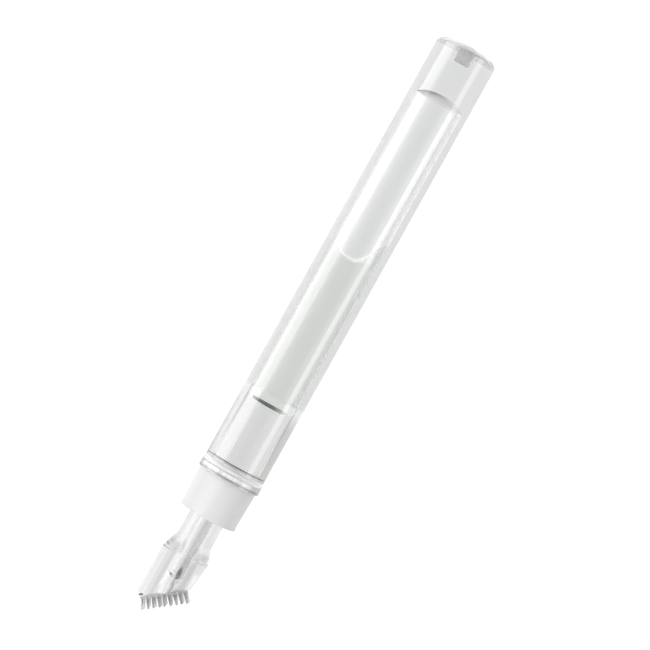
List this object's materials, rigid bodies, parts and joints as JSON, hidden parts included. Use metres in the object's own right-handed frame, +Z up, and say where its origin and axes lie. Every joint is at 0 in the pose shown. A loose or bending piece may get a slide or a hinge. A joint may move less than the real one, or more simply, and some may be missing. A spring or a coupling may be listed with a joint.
{
  "type": "lens cleaning pen",
  "caption": "Clear capless lens cleaning pen: thick-walled fluid barrel, frosted collar and a press-to-feed brush head with a slanted face of short soft nubs.",
  "frame": {"origin": "on the surface the pen lies on, under the middle of its length and width", "axes": "+X along the pen from its flat back face to the brush, +Z up, +Y towards the short side of the slanted brush face"},
  "size_m": [0.1184, 0.0124, 0.0123],
  "materials": {
    "clear_plastic": "polished, water-clear, thick-walled",
    "head_plastic": "clear, slightly softer polish than the barrel",
    "cleaning_fluid": "clear liquid with a faint grey-green tint",
    "clear_silicone": "soft, translucent, satin",
    "frosted_white": "fine satin, slightly translucent",
    "dark_rubber": "matt",
    "spring_steel": "drawn wire"
  },
  "bodies": {
    "barrel_body": {"barrel": "clear_plastic", "cleaning_fluid": "cleaning_fluid"},
    "nozzle_body": {"front_plug": "clear_plastic", "flange_gasket": "clear_silicone", "stem_o_ring": "dark_rubber", "return_spring": "spring_steel", "collar": "frosted_white"},
    "head_body": {"brush_head": "head_plastic", "nub_pad": "clear_silicone", "feed_stem": "clear_plastic", "valve_disc": "dark_rubber"}
  },
  "joints": [
    {"name": "nozzle_pull", "type": "slide", "parent": "barrel_body", "child": "nozzle_body", "axis": [1, 0, 0], "range_m": [0, 0.018], "deforming": ["cleaning_fluid"]},
    {"name": "head_press", "type": "slide", "parent": "nozzle_body", "child": "head_body", "axis": [-1, 0, 0], "range_m": [0, 0.0015], "stiffness_N_per_m": 300, "springref_m": -0.001, "deforming": ["return_spring"]}
  ]
}
